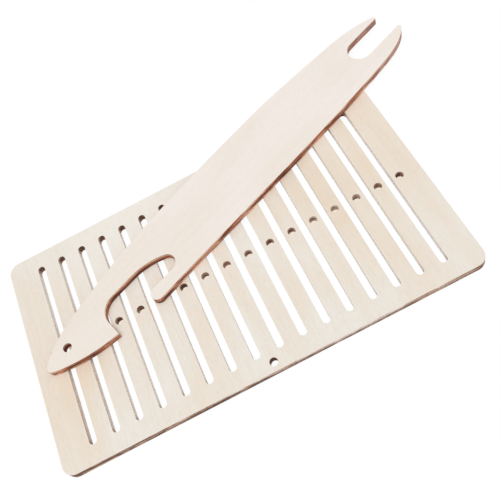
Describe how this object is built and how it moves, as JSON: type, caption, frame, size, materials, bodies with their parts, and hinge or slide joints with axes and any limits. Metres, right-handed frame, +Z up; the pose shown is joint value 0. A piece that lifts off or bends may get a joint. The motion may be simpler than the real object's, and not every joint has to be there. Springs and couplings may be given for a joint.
{
  "type": "rigid heddle and shuttle",
  "caption": "Flat wooden heddle board with long thread slots and a row of thread eyes, and a flat hooked shuttle with a forked end lying loose across it, for weaving bands.",
  "frame": {"origin": "centre of the heddle board's underside, which lies on the table", "axes": "+X along the board's long side, +Y along its slots towards the back, +Z up off the table"},
  "size_m": [0.2094, 0.1333, 0.007],
  "materials": {
    "heddle_veneer": "sanded, bare",
    "heddle_core": "cut edge, browned by heat",
    "shuttle_veneer": "sanded, bare",
    "shuttle_core": "cut edge, browned by heat",
    "glue_line": "hard resin film"
  },
  "bodies": {
    "heddle": {"heddle_back_veneer": "heddle_veneer", "heddle_lower_glue_line": "glue_line", "heddle_core_veneer": "heddle_core", "heddle_upper_glue_line": "glue_line", "heddle_face_veneer": "heddle_veneer"},
    "shuttle": {"shuttle_back_veneer": "shuttle_veneer", "shuttle_lower_glue_line": "glue_line", "shuttle_core_veneer": "shuttle_core", "shuttle_upper_glue_line": "glue_line", "shuttle_face_veneer": "shuttle_veneer"}
  },
  "joints": [
    {"name": "shuttle_lift", "type": "slide", "parent": "heddle", "child": "shuttle", "axis": [0, 0, 1], "range_m": [0, 0.08]}
  ]
}
